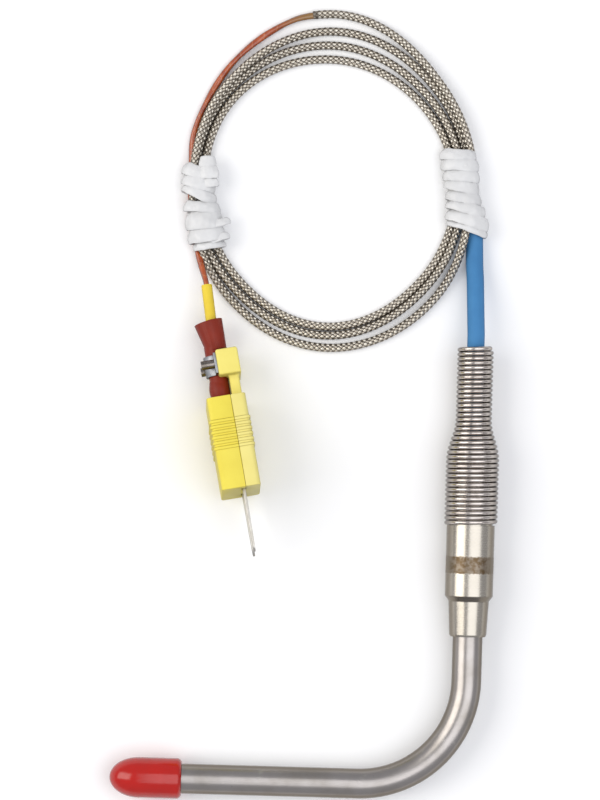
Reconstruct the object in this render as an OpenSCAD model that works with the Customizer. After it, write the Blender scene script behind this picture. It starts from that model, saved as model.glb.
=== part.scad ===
// Bent-tube thermocouple probe with a spring strain relief, a braided lead coiled
// between two ties, and a miniature flat-blade plug with its cable clamp.
// Millimetres. The probe lies level and the surface it lies on is z = 0.
// The sensing leg points along -X, and the lead leaves the other leg towards +Y.
// The origin is the bottom centre of the probe's own box, lead and plug left out.

/* [Probe tube] */
// Outside diameter of the probe tube
tube_od = 6.35; // [5.25:0.05:7.65]
// Wall of the probe tube
tube_wall = 0.7; // [0.5:0.05:1]
// Straight run between the bend and the cap
sheath_run = 37.3; // [25:0.1:100]
// Radius of the bend at the tube's axis
bend_radius = 22.5; // [15:0.5:30]
// Straight run between the bend and the ferrule
neck_run = 9.4; // [6:0.2:40]
// Step from the tube down to its ground end, which the cap sits on
tip_step = 0.175; // [0.1:0.025:0.3]
// Length of the ground tube end
tip_length = 12.6; // [8:0.2:20]

/* [Tip cap] */
// Overall length of the cap
cap_length = 15.3; // [12:0.1:24]
// Wall of the cap
cap_wall = 1.25; // [0.8:0.05:2]
// Length of the cap's rounded nose
cap_nose = 6.2; // [3:0.2:7]
// Radial gap between the cap and the tube end
cap_gap = 0.05; // [0.02:0.01:0.1]

/* [Ferrule] */
// Outside diameter of the ferrule's body
ferrule_od = 10.2; // [9.6:0.1:12.4]
// Length of the ferrule's body
ferrule_length = 15; // [12:0.5:24]
// Wall of the ferrule's nose where it joins the body
nose_root_wall = 1.125; // [0.9:0.025:1.25]
// Wall of the ferrule's nose at its lip
nose_lip_wall = 0.775; // [0.5:0.025:0.875]
// Length of the ferrule's nose with its shoulder
nose_length = 8.6; // [5:0.2:12]

/* [Spring] */
// Wire diameter of the spring
spring_wire = 0.95; // [0.8:0.05:1.2]
// Outside diameter of the wide coils
spring_od = 11.4; // [9.4:0.1:13.8]
// Outside diameter of the narrow coils
spring_neck_od = 7.8; // [7:0.1:9]
// Length of the wide coils
spring_wide = 13.8; // [11:0.2:20]
// Length of the taper
spring_taper = 8.8; // [5:0.2:14]
// Length of the narrow coils
spring_neck = 15.5; // [8:0.5:25]
// Gap between neighbouring turns of the spring
spring_gap = 0.04; // [0.04:0.01:0.4]

/* [Lead] */
// Diameter of the braided lead
lead_d = 1.8; // [1.4:0.05:2.2]
// Wall of the sleeve over the start of the lead
sleeve_wall = 0.75; // [0.4:0.05:0.9]
// Diameter of the film-insulated wire pair
pair_d = 1.5; // [1.2:0.05:1.85]
// Height of the coil of lead
coil_height = 3.4; // [3:0.1:5]

/* [Ties] */
// Height of a tie
tie_height = 5; // [4.5:0.1:7]
// Thickness of the tie's ribbon under the coil
tie_under = 0.3; // [0.2:0.05:0.5]

/* [Plug] */
// Length of the plug's body
plug_length = 19.8; // [18:0.2:28]
// Width of the plug's body, across both blades
plug_width = 16; // [15:0.5:20]
// Thickness of the plug's body
plug_thick = 8.3; // [7.5:0.1:10]
// Offset of the parting face from the middle of the thickness
plug_split = 1; // [0.4:0.1:1.6]
// Exposed length of a blade
blade_length = 13.4; // [10:0.1:16]
// Thickness of a blade
blade_thick = 0.8; // [0.6:0.05:1]
// Distance between the blades' middles
blade_spacing = 7.9; // [7:0.1:9]
// Width of the positive blade
blade_pos_width = 2.4; // [2:0.1:2.8]
// Width of the negative blade
blade_neg_width = 3.2; // [2.8:0.1:3.8]
// Number of grip ribs
rib_count = 6; // [3:1:7]

/* [Cable clamp] */
// Diameter of the grommet in the clamp
grommet_d = 4; // [3.3:0.1:4.8]
// Widening of the grommet's open end, each side
grommet_flare = 1.05; // [0.4:0.05:1.4]
// Length of the clamp's block along the lead
clamp_block = 5.5; // [5.4:0.1:8]
// Height of the clamp across its two screws
clamp_height = 12; // [11:0.2:14]
// Distance of each clamp screw from the lead's axis
screw_offset = 4.2; // [3.8:0.1:4.6]

/* [Hidden] */
$fn = 48;

steel = [0.66, 0.63, 0.58];
bright_steel = [0.78, 0.78, 0.76];
brass = [0.75, 0.6, 0.3];
ceramic = [0.93, 0.91, 0.85];
plug_yellow = [0.95, 0.85, 0.25];
plug_pale = [0.96, 0.9, 0.55];
tie_white = [0.9, 0.9, 0.9];

spring_pitch = spring_wire + spring_gap;

// Probe layout: distances along each leg start where the two axes meet.
tip_od = tube_od - 2 * tip_step;
nose_root_od = tube_od + 2 * nose_root_wall;
nose_lip_od = tube_od + 2 * nose_lip_wall;
shoulder_at = bend_radius + sheath_run;
tip_at = shoulder_at + tip_length;
cap_clear = 0.1;
cap_end = shoulder_at + cap_clear + cap_length;
cap_bore = tip_od + 2 * cap_gap;
cap_od = cap_bore + 2 * cap_wall;
ferrule_at = bend_radius + neck_run;
body_at = ferrule_at + nose_length;
spring_at = body_at + ferrule_length;
spring_length = spring_wide + spring_taper + spring_neck;
exit_at = spring_at + spring_length;

widest = max(spring_od, ferrule_od, cap_od);
axis_z = widest / 2;
corner_x = (cap_end - axis_z) / 2;
corner_y = (cap_od / 2 - exit_at) / 2;
exit_x = corner_x;
exit_y = corner_y + exit_at;

// Inside the ferrule
fit_gap = 0.05;
tube_seat = 10;
cavity_d = ferrule_od - 2.2;
cavity_length = 9;
spigot_d = spring_od - 2 * spring_wire - 0.2;
spigot_length = 9.4;
crimp_od = 4.4;
crimp_length = 6;
braid_at = spring_at + spigot_length - crimp_length;
cavity_at = ferrule_at + tube_seat;

// Thermocouple wires, side by side across the plane of the bend
wire_d = 0.8;
wire_offset = 0.95;
wire_hole_d = 1;
tube_bore = tube_od - 2 * tube_wall;
bead_d = tube_bore - 0.3;
bead_length = 4;
bead_pitch = 4.4;
end_plug_depth = 2.4;
tip_dome = 1;
junction_length = 1.2;
junction_at = tip_at - end_plug_depth - junction_length - 0.4;
splice_d = 1.7;
splice_length = cavity_length - 2;

sleeve_bore = lead_d + 0.4;
sleeve_od = sleeve_bore + 2 * sleeve_wall;
// Route of the lead from the spring's mouth to the coil: x, y from the mouth, and z.
lead_route = [
    [0, 2.5, axis_z - 0.1], [-0.1, 5, axis_z - 0.4], [-0.2, 8, axis_z - 1],
    [-0.3, 11, axis_z - 1.8], [-0.4, 14, 3.1], [-0.6, 17, 2.5], [-0.7, 20, 2.2],
    [-0.8, 23, 2.2], [-0.9, 26, 2.2]
];
// The bare braid goes on from the sleeve's end into the coil.
lead_join = [[-1.4, 28.5, 2.2], [-2.4, 31.5, 2.2]];
// Route of the film-insulated pair, from the braid's end to its yellow sleeve: x, y from
// the mouth, and the gap under it.
pair_route = [
    [-37.1, 69.9, 0.35], [-39.9, 69, 0.25], [-42.5, 67.6, 0.05], [-44.9, 66.2, 0.05],
    [-47.3, 64.6, 0.05], [-50.7, 61.8, 0.05], [-53.7, 58.6, 0.05], [-56.2, 55.1, 0.05],
    [-58.4, 51.2, 0.05], [-60.2, 47.2, 0.05], [-61.5, 42.9, 0.05], [-62.1, 38.5, 0.25],
    [-62.3, 34, 0.35], [-62.2, 29.6, 0.35], [-61.7, 25.4, 0.35], [-60.8, 21.8, 0.35],
    [-59.8, 18.5, 0.55], [-58.7, 15.2, 1.65]
];
// Middle of the yellow sleeve's mouth
yellow_mouth = [-57.55, 11.4, 4.2];

// The coil of lead: its middle from the spring's mouth, and the radii of its outer
// shape at every 45 degrees. The last turn ends at coil_stop, proud of the others.
coil_at = [-31.9, 32.3];
coil_inner = [25.9, 26, 27, 27.5, 26, 26.2, 28, 26.4];
coil_outer = [30.6, 33.6, 35, 32.6, 29.6, 32, 34.5, 33];
last_turn = [31.6, 33.7, 38.7, 34, 31, 31, 31, 31];
coil_stop = 98;
coil_step = 5;

// The ties, as outlines round the coil, from the spring's mouth
tie_round = 0.9;
tie_right_outline = [[-8.2, 42], [-1.6, 42], [2.1, 30], [2.3, 26], [1.8, 22.8], [-7, 25.2]];
tie_left_outline = [[-63, 38.6], [-55.6, 39.3], [-55.8, 29.7], [-53.5, 20.3], [-60.2, 18.1],
    [-63.3, 28], [-63.5, 35]];
tie_tail = [5, 7.6, 1];
tie_tail_at = [-58.6, 33.5];
tie_tail_turn = 5;

// The plug stands on its narrow edge and leans back on its cord end.
plug_heading = -78.5;
plug_pitch = 9;
plug_roll = 3;
plug_at = [-52.8, -13.2];
plug_lift = plug_width / 2 * cos(plug_pitch) * cos(plug_roll)
    + plug_thick / 2 * sin(plug_roll) + 0.02;
plug_round = 1;
rib_height = 0.25;
rib_length = 0.65;
rib_pitch = 1.15;
rib_at = 4.9;
lead_t = -0.6;
blade_t = plug_split - blade_thick;
terminal_at = 5.4;
terminal_head_d = 3.4;
terminal_head = 0.9;
terminal_shank_d = 1.8;
terminal_shank = 2.2;
cover_screw_at = 13;
cover_screw_d = 2.2;
cover_head_d = 3.8;
cover_head = 1.2;
conductor_d = 0.6;
grip_in_plug = 3;
pair_stop = 1;
slot_run = 3;
well_reach = 1.9;
well_height = 6;

// Cable clamp
block_gap = 4.8;
neck_height = 7;
neck_t = [plug_thick / 2 - 2.65, plug_thick / 2 - 0.5];
block_t = [lead_t + 0.05, plug_thick / 2];
saddle_sheet = 0.5;
saddle_length = 4.4;
saddle_tab_t = block_t[0] - fit_gap - saddle_sheet;
clamp_screw_d = 1.4;
clamp_head_d = 1.9;
clamp_head = 2.8;
block_end = -block_gap - clamp_block;
clamp_mid = -block_gap - clamp_block / 2;
cone_at = block_end - 0.7;
cone_length = 6.3;
cone_turn = 7;
// The cone starts this far to one side of the straight part.
cone_shift = 0.6;
// The bulge between the clamp and the plug
barrel_x = [-4.6, -0.1];
barrel_extra = 0.4;
barrel_shift = -0.2;
yellow_bore = pair_d + 0.25;
yellow_od = yellow_bore + 0.55;
yellow_in_grommet = 1.6;
yellow_shift = 0.3;
pair_bore = pair_d + 0.5;
cone_bore = pair_d + 0.9;
mouth_bore = yellow_od + 2 * yellow_shift + 0.7;
mouth_depth = yellow_in_grommet + 0.6;

// ---- Helpers ----

// The value at angle a of a closed curve through evenly spaced values.
function around(v, a) =
    let (n = len(v), u = a / 360 * n, i = floor(u), f = u - i,
        p = v[(i + n - 1) % n], q = v[i % n], r = v[(i + 1) % n], s = v[(i + 2) % n])
    q + f * ((r - p) / 2 + f * (p - 2.5 * q + 2 * r - s / 2 + f * ((s - p) / 2 + 1.5 * (q - r))));

function unit(v) = v / norm(v);
function tangent(path, i) =
    unit(path[min(i + 1, len(path) - 1)] - path[max(i - 1, 0)]);
function ring(at, dir, r, sides) =
    let (side = unit(cross(dir, [0, 0, 1])), up = cross(side, dir))
    [for (k = [0:sides - 1]) at + r * (cos(360 * (k + 0.5) / sides) * side
        + sin(360 * (k + 0.5) / sides) * up)];
function skin(rings, sides, offset, flip) = [
    for (i = [0:rings - 2], k = [0:sides - 1])
        let (a = offset + i * sides + k, b = offset + i * sides + (k + 1) % sides,
            c = b + sides, d = a + sides)
        each flip ? [[a, b, c], [a, c, d]] : [[a, c, b], [a, d, c]]
];
function disc(sides, offset, flip) =
    [for (k = [0:sides - 1]) offset + (flip ? sides - 1 - k : k)];
function rim(sides, a, b, flip) = [
    for (k = [0:sides - 1])
        let (m = (k + 1) % sides)
        flip ? [a + k, b + k, b + m, a + m] : [a + k, a + m, b + m, b + k]
];
function flatten(rows) = [for (row = rows) each row];

// A round cord swept along a path.
module cord(path, d, sides = 8) {
    n = len(path);
    points = flatten([for (i = [0:n - 1]) ring(path[i], tangent(path, i), d / 2, sides)]);
    polyhedron(points, concat(skin(n, sides, 0, false),
        [disc(sides, 0, false)], [disc(sides, (n - 1) * sides, true)]));
}

// A hollow sleeve swept along a path.
module sleeve(path, od, bore, sides = 8) {
    n = len(path);
    outer = flatten([for (i = [0:n - 1]) ring(path[i], tangent(path, i), od / 2, sides)]);
    inner = flatten([for (i = [0:n - 1]) ring(path[i], tangent(path, i), bore / 2, sides)]);
    half = n * sides;
    last = (n - 1) * sides;
    polyhedron(concat(outer, inner), concat(
        skin(n, sides, 0, false), skin(n, sides, half, true),
        rim(sides, 0, half, false), rim(sides, last, half + last, true)));
}

// Places its children with +Z along a leg, starting where the legs' axes meet.
module on_sheath_leg() translate([corner_x, corner_y, axis_z]) rotate([0, -90, 0]) children();
module on_lead_leg() translate([corner_x, corner_y, axis_z]) rotate([-90, 0, 0]) children();

// Sweeps its 2D children round the bend.
module round_bend() translate([corner_x - bend_radius, corner_y + bend_radius, axis_z])
    rotate([0, 0, -90]) rotate_extrude(angle = 90, $fn = 96)
    translate([bend_radius, 0]) children();

// A round bar or tube from one distance along the leg to another.
module round_run(from, to, d, bore = 0) {
    translate([0, 0, from]) linear_extrude(to - from) round_section(d, bore);
}

module round_section(d, bore = 0) {
    difference() {
        circle(d = d);
        if (bore > 0)
            circle(d = bore);
    }
}

// A round bar or tube along both legs and the bend, to a distance along each leg.
module along_probe(d, to_tip, to_ferrule, bore = 0, raise = 0) {
    translate([0, 0, raise]) {
        on_sheath_leg() round_run(bend_radius, to_tip, d, bore);
        round_bend() round_section(d, bore);
        on_lead_leg() round_run(bend_radius, to_ferrule, d, bore);
    }
}

function exit_point(p) = [exit_x + p[0], exit_y + p[1], p[2]];
function exit_route(points) = [for (p = points) exit_point(p)];
// A point inside the lead's leg, s behind the spring's mouth.
function behind_exit(s) = [exit_x, exit_y - s, axis_z];

// Places its children in the plug's frame: +X to the blades, +Z up, cord end at x = 0.
module at_plug() translate(exit_point([plug_at[0], plug_at[1], plug_lift]))
    rotate([0, 0, plug_heading]) rotate([0, -plug_pitch, 0]) rotate([-plug_roll, 0, 0])
    children();

// The same placing for one point.
function turn_x(v, a) = [v[0], v[1] * cos(a) - v[2] * sin(a), v[1] * sin(a) + v[2] * cos(a)];
function turn_y(v, a) = [v[0] * cos(a) + v[2] * sin(a), v[1], v[2] * cos(a) - v[0] * sin(a)];
function turn_z(v, a) = [v[0] * cos(a) - v[1] * sin(a), v[0] * sin(a) + v[1] * cos(a), v[2]];
function plug_point(v) = exit_point([plug_at[0], plug_at[1], plug_lift])
    + turn_z(turn_y(turn_x(v, -plug_roll), -plug_pitch), plug_heading);
// A point on or beside the axis of the grommet's cone, s from its narrow end.
function cone_point(s, side = 0) =
    plug_point([cone_at - s * cos(cone_turn), lead_t + cone_shift + side - s * sin(cone_turn), 0]);

// The yellow sleeve runs from inside the grommet's mouth to its own mouth.
yellow_from = cone_point(cone_length - yellow_in_grommet, yellow_shift);
yellow_to = exit_point(yellow_mouth);
yellow_route = [for (f = [0, 0.3, 0.65, 1]) yellow_to + f * (yellow_from - yellow_to)];

// ---- Probe ----

module sheath_tube() {
    color(steel) {
        along_probe(tube_od, shoulder_at, ferrule_at + tube_seat, tube_bore);
        on_sheath_leg() round_run(shoulder_at, tip_at - tip_dome, tip_od, tube_bore);
    }
}

// The welded end, with a round edge.
module end_plug() {
    flat = tip_od / 2 - tip_dome;
    color(steel)
    on_sheath_leg() {
        round_run(tip_at - end_plug_depth, tip_at - tip_dome, tube_bore - 2 * fit_gap);
        translate([0, 0, tip_at - tip_dome]) rotate_extrude() {
            square([flat, tip_dome]);
            translate([flat, 0]) intersection() {
                circle(r = tip_dome);
                square(tip_dome);
            }
        }
    }
}

module bead() {
    difference() {
        cylinder(d = bead_d, h = bead_length);
        for (side = [-1, 1])
            translate([side * wire_offset, 0, -1])
                cylinder(d = wire_hole_d, h = bead_length + 2);
    }
}

// Two-hole ceramic beads on the wires along the straight sensing leg and the lead's leg.
module ceramic_beads() {
    sheath_beads = floor((junction_at - 2 - bend_radius) / bead_pitch);
    neck_beads = floor((ferrule_at + tube_seat - bend_radius) / bead_pitch);
    color(ceramic) {
        for (i = [0:sheath_beads - 1])
            on_sheath_leg() translate([0, 0, bend_radius + i * bead_pitch]) bead();
        for (i = [0:neck_beads - 1])
            on_lead_leg() translate([0, 0, bend_radius + i * bead_pitch])
                rotate([0, 0, 90]) bead();
    }
}

module thermo_wire(side) {
    along_probe(wire_d, junction_at, cavity_at + 2, raise = side * wire_offset);
}

module wire_positive() {
    color([0.8, 0.75, 0.6]) thermo_wire(1);
}

module wire_negative() {
    color([0.65, 0.62, 0.6]) thermo_wire(-1);
}

// The hot junction where both wires are welded together.
module junction_bead() {
    color(bright_steel)
    on_sheath_leg() translate([0, 0, junction_at])
        cylinder(d = 2 * wire_offset + wire_hole_d, h = junction_length);
}

// ---- Ferrule and spring ----

module transition_ferrule() {
    shoulder = 1.1;
    lip = 0.4;
    color(bright_steel)
    on_lead_leg() difference() {
        union() {
            translate([0, 0, ferrule_at]) cylinder(d1 = nose_lip_od - lip, d2 = nose_lip_od, h = lip);
            translate([0, 0, ferrule_at + lip])
                cylinder(d1 = nose_lip_od, d2 = nose_root_od, h = nose_length - shoulder - lip);
            translate([0, 0, body_at - shoulder])
                cylinder(d1 = nose_root_od, d2 = ferrule_od, h = shoulder);
            translate([0, 0, body_at]) cylinder(d = ferrule_od, h = ferrule_length);
            translate([0, 0, spring_at]) cylinder(d = spigot_d, h = spigot_length);
        }
        translate([0, 0, ferrule_at - 1]) cylinder(d = tube_od + 2 * fit_gap, h = tube_seat + 2);
        translate([0, 0, cavity_at]) cylinder(d = cavity_d, h = cavity_length);
        translate([0, 0, cavity_at + cavity_length - 1])
            cylinder(d = crimp_od + 2 * fit_gap, h = 60);
    }
}

module potting() {
    color([0.25, 0.22, 0.2])
    on_lead_leg() difference() {
        translate([0, 0, cavity_at + 0.1]) cylinder(d = cavity_d - 0.1, h = cavity_length - 0.2);
        for (side = [-1, 1])
            translate([0, side * wire_offset, cavity_at - 1])
                cylinder(d = splice_d + 0.1, h = cavity_length + 2);
    }
}

// Two crimped barrels that join the wires to the lead's conductors.
module splice_barrels() {
    color(brass)
    on_lead_leg() for (side = [-1, 1])
        translate([0, side * wire_offset, cavity_at + 1]) difference() {
            cylinder(d = splice_d, h = splice_length);
            translate([0, 0, -1]) cylinder(d = wire_d + 0.1, h = splice_length + 2);
        }
}

// The ring that clamps the braid in the ferrule's spigot.
module braid_crimp() {
    color(brass)
    on_lead_leg() translate([0, 0, braid_at]) difference() {
        cylinder(d = crimp_od, h = crimp_length);
        translate([0, 0, -1]) cylinder(d = lead_d + 0.1, h = crimp_length + 2);
    }
}

// Radius of the spring's wire centre at height s above the ferrule's body.
function spring_radius(s) =
    let (wide = (spring_od - spring_wire) / 2, narrow = (spring_neck_od - spring_wire) / 2,
        f = min(max((s - spring_wide) / spring_taper, 0), 1))
    narrow + (wide - narrow) * (1 + cos(180 * f)) / 2;

module strain_spring() {
    sides = 6;
    per_turn = 12;
    rise = spring_length - spring_wire;
    steps = floor(rise / spring_pitch * per_turn);
    path = [for (i = [0:steps])
        let (a = 360 * i / per_turn, s = spring_wire / 2 + i * spring_pitch / per_turn)
        [spring_radius(s) * cos(a), spring_radius(s) * sin(a), s]];
    color(bright_steel)
    on_lead_leg() translate([0, 0, spring_at]) cord(path, spring_wire, sides);
}

// ---- Lead ----

// The sleeve starts in the spring's wide coils, clear of the ferrule's spigot.
module lead_sleeve() {
    start = spring_length - spigot_length - 3;
    inside = [for (s = [start:-5:3]) behind_exit(s)];
    color([0.2, 0.42, 0.66])
    sleeve(concat(inside, [behind_exit(0)], exit_route(lead_route)), sleeve_od, sleeve_bore);
}

module lead_tail() {
    start = exit_at - braid_at - 0.1;
    inside = [for (s = [start:-6:3]) behind_exit(s)];
    color([0.6, 0.58, 0.52])
    cord(concat(inside, [behind_exit(0)], exit_route(concat(lead_route, lead_join))), lead_d);
}

module coil_outline(radii, extra = 0) {
    polygon([for (a = [0:coil_step:359]) (around(radii, a) + extra) * [cos(a), sin(a)]]);
}

// The outer shape of all the turns, with the last turn standing proud up to its end.
module lead_coil() {
    last_points = [for (a = [20:6:coil_stop]) around(last_turn, a) * [cos(a), sin(a)]];
    color([0.62, 0.6, 0.55])
    translate(exit_point([coil_at[0], coil_at[1], tie_under]))
    linear_extrude(coil_height) difference() {
        union() {
            coil_outline(coil_outer);
            polygon(concat([[20, 0]], last_points));
        }
        coil_outline(coil_inner);
    }
}

// The pair goes on through the yellow sleeve and the grommet to the plug's terminals.
module film_pair() {
    outside = exit_route([for (p = pair_route) p + [0, 0, pair_d / 2]]);
    inside = [
        cone_point(1.5), plug_point([cone_at, lead_t + cone_shift / 3, 0]),
        plug_point([clamp_mid, lead_t, 0]), plug_point([pair_stop, lead_t, 0])
    ];
    color([0.72, 0.3, 0.14]) cord(concat(outside, yellow_route, inside), pair_d);
}

// ---- Ties ----

module tie(outline) {
    difference() {
        translate(exit_point([0, 0, 0])) linear_extrude(tie_height)
            offset(tie_round, $fn = 24) offset(-tie_round) polygon(outline);
        lead_coil();
    }
}

module tie_left() {
    color(tie_white) {
        tie(tie_left_outline);
        translate(exit_point([tie_tail_at[0], tie_tail_at[1], tie_height - 0.2]))
            rotate([0, 0, tie_tail_turn])
            translate([-tie_tail[0] / 2, -tie_tail[1] / 2, 0]) cube(tie_tail);
    }
}

module tie_right() {
    color(tie_white) tie(tie_right_outline);
}

// ---- Cable clamp and grommet ----

// A box by its x, thickness and height ranges in the plug's frame.
module plug_block(x, t, h) {
    translate([x[0], t[0], h[0]]) cube([x[1] - x[0], t[1] - t[0], h[1] - h[0]]);
}

module on_lead_axis() translate([0, lead_t, 0]) rotate([0, 90, 0]) children();

// The flared end turns towards where the lead comes from.
module at_cone() translate([cone_at, lead_t + cone_shift, 0]) rotate([0, 0, cone_turn])
    rotate([0, -90, 0]) children();

// The soft bulge of the grommet between the clamp and the plug.
module grommet_barrel(extra = 0) {
    length = barrel_x[1] - barrel_x[0];
    bulge = [for (f = [0:0.125:1])
        [grommet_d / 2 - barrel_extra / 2 + barrel_extra * sin(180 * f) + extra, length * f]];
    translate([barrel_x[0], lead_t + barrel_shift, 0]) rotate([0, 90, 0])
        rotate_extrude() polygon(concat([[0, 0]], bulge, [[0, length]]));
}

module lead_grommet() {
    color([0.56, 0.2, 0.12])
    at_plug() difference() {
        union() {
            on_lead_axis() round_run(cone_at - 1, grip_in_plug, grommet_d);
            grommet_barrel();
            at_cone()
                cylinder(d1 = grommet_d + 0.4, d2 = grommet_d + 2 * grommet_flare, h = cone_length);
        }
        on_lead_axis() round_run(cone_at - 2, grip_in_plug + 1, pair_bore);
        at_cone() round_run(-0.5, cone_length, cone_bore);
        at_cone() round_run(cone_length - mouth_depth, cone_length + 1, mouth_bore);
    }
}

module yellow_sleeve() {
    color([0.88, 0.78, 0.22]) sleeve(yellow_route, yellow_od, yellow_bore);
}

module clamp_screw_holes(d) {
    for (side = [-1, 1])
        translate([clamp_mid, -20, side * screw_offset]) rotate([-90, 0, 0])
            cylinder(d = d, h = 40);
}

module clamp_bracket() {
    color(plug_yellow)
    at_plug() difference() {
        union() {
            plug_block([block_end, -block_gap], block_t, [-clamp_height / 2, clamp_height / 2]);
            plug_block([-block_gap - 0.01, -0.05], neck_t, [-neck_height / 2, neck_height / 2]);
        }
        on_lead_axis() translate([0, 0, block_end - 1]) cylinder(d = grommet_d + 0.1, h = 20);
        grommet_barrel(fit_gap);
        clamp_screw_holes(clamp_screw_d + 0.1);
    }
}

// Bent from sheet: two flat tabs and a half ring over the grommet.
module clamp_saddle() {
    bore = grommet_d + 0.1;
    x = [clamp_mid - saddle_length / 2, clamp_mid + saddle_length / 2];
    color([0.6, 0.6, 0.6])
    at_plug() difference() {
        union() {
            plug_block(x, [saddle_tab_t, saddle_tab_t + saddle_sheet],
                [-clamp_height / 2 + 0.4, clamp_height / 2 - 0.4]);
            intersection() {
                on_lead_axis() translate([0, 0, x[0]])
                    cylinder(d = bore + 2 * saddle_sheet, h = saddle_length);
                plug_block([x[0] - 1, x[1] + 1], [-20, saddle_tab_t + saddle_sheet], [-10, 10]);
            }
        }
        on_lead_axis() translate([0, 0, x[0] - 1]) cylinder(d = bore, h = saddle_length + 2);
        clamp_screw_holes(clamp_screw_d + 0.1);
    }
}

module clamp_screws() {
    color(bright_steel)
    at_plug() for (side = [-1, 1])
        translate([clamp_mid, saddle_tab_t - 0.02, side * screw_offset]) difference() {
            union() {
                rotate([90, 0, 0]) cylinder(d = clamp_head_d, h = clamp_head);
                rotate([-90, 0, 0]) cylinder(d = clamp_screw_d, h = 4);
            }
            translate([-2, -clamp_head - 1, -0.2]) cube([4, 1.6, 0.4]);
        }
}

// ---- Plug ----

// The plug's outline across its axis, between two thickness values.
module plug_section(from, to, grow = 0) {
    intersection() {
        offset(plug_round, $fn = 24) offset(-plug_round)
            square([plug_thick + 2 * grow, plug_width + 2 * grow], center = true);
        translate([from, -plug_width]) square([to - from, 2 * plug_width]);
    }
}

module along_plug(x, length) translate([x, 0, 0]) rotate([90, 0, 90]) linear_extrude(length)
    children();

// A shell between two thickness values, with its grip ribs.
module plug_shell(from, to) {
    along_plug(0, plug_length) plug_section(from, to);
    for (i = [0:rib_count - 1])
        along_plug(rib_at + i * rib_pitch, rib_length) plug_section(from, to, rib_height);
}

// What both shells leave room for: blades, terminal screws, wires and the lead's entry.
module plug_hollow() {
    for (side = [-1, 1]) {
        width = side > 0 ? blade_pos_width : blade_neg_width;
        h = side * blade_spacing / 2;
        plug_block([terminal_at - slot_run - fit_gap, plug_length + 1],
            [blade_t - fit_gap, plug_split + fit_gap],
            [h - width / 2 - fit_gap, h + width / 2 + fit_gap]);
        translate([terminal_at, blade_t - terminal_shank - 0.3, h]) rotate([-90, 0, 0])
            cylinder(d = terminal_shank_d + 0.1, h = terminal_shank + 1);
        translate([terminal_at, plug_split - 0.1, h]) rotate([-90, 0, 0])
            cylinder(d = terminal_head_d + 0.3, h = terminal_head + 1);
    }
    plug_block([grip_in_plug - 0.01, terminal_at + well_reach], [lead_t - 1.2, plug_split + 1.6],
        [-well_height / 2, well_height / 2]);
    on_lead_axis() translate([0, 0, -1]) cylinder(d = grommet_d + 0.1, h = grip_in_plug + 1.1);
}

module plug_base() {
    color(plug_yellow)
    at_plug() difference() {
        plug_shell(-plug_thick, plug_split - 0.02);
        plug_hollow();
        translate([cover_screw_at, -plug_thick / 2 + 1, 0]) rotate([-90, 0, 0])
            cylinder(d = cover_screw_d + 0.1, h = plug_thick);
    }
}

module plug_cover() {
    color(plug_pale)
    at_plug() difference() {
        plug_shell(plug_split, plug_thick);
        plug_hollow();
        translate([cover_screw_at, 0, 0]) rotate([-90, 0, 0])
            cylinder(d = cover_screw_d + 0.2, h = plug_thick);
        translate([cover_screw_at, plug_thick / 2 - cover_head - 0.4, 0]) rotate([-90, 0, 0])
            cylinder(d = cover_head_d + 0.2, h = plug_thick);
    }
}

module cover_screw() {
    seat = plug_thick / 2 - cover_head - 0.4;
    color(bright_steel)
    at_plug() translate([cover_screw_at, seat + 0.02, 0]) difference() {
        union() {
            rotate([-90, 0, 0]) cylinder(d = cover_head_d, h = cover_head);
            rotate([90, 0, 0]) cylinder(d = cover_screw_d, h = seat + plug_thick / 2 - 1.2);
        }
        translate([-3, cover_head - 0.5, -0.3]) cube([6, 1, 0.6]);
    }
}

module blade(width, side) {
    h = side * blade_spacing / 2;
    tip = plug_length + blade_length;
    at_plug() difference() {
        translate([0, blade_t, h]) rotate([-90, 0, 0]) linear_extrude(blade_thick) union() {
            translate([terminal_at - slot_run, -width / 2])
                square([tip - width / 2 - terminal_at + slot_run, width]);
            translate([tip - width / 2, 0]) circle(d = width);
        }
        translate([terminal_at, -5, h]) rotate([-90, 0, 0])
            cylinder(d = terminal_shank_d, h = 10);
    }
}

module blade_positive() {
    color([0.85, 0.84, 0.8]) blade(blade_pos_width, 1);
}

module blade_negative() {
    color([0.8, 0.78, 0.72]) blade(blade_neg_width, -1);
}

module terminal_screws() {
    color(bright_steel)
    at_plug() for (side = [-1, 1])
        translate([terminal_at, 0, side * blade_spacing / 2]) difference() {
            union() {
                translate([0, plug_split + 0.02, 0]) rotate([-90, 0, 0])
                    cylinder(d = terminal_head_d, h = terminal_head);
                translate([0, blade_t - terminal_shank, 0]) rotate([-90, 0, 0])
                    cylinder(d = terminal_shank_d - 0.1, h = blade_thick + terminal_shank + 0.1);
            }
            translate([-3, plug_split + terminal_head - 0.4, -0.25]) cube([6, 1, 0.5]);
        }
}

// A conductor from the pair inside the grommet to its terminal screw.
module conductor(side) {
    start = grip_in_plug + 0.1;
    path = [
        [pair_stop + 0.1, lead_t, side * 0.4], [start, lead_t, side * 0.45],
        [start + 0.8, lead_t + 1, side * 1.1], [start + 1.2, plug_split + 0.5, side * 1.9]
    ];
    at_plug() cord(path, conductor_d);
}

module conductor_positive() {
    color([0.9, 0.8, 0.2]) conductor(1);
}

module conductor_negative() {
    color([0.75, 0.2, 0.15]) conductor(-1);
}

// ---- Tip cap ----

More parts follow.
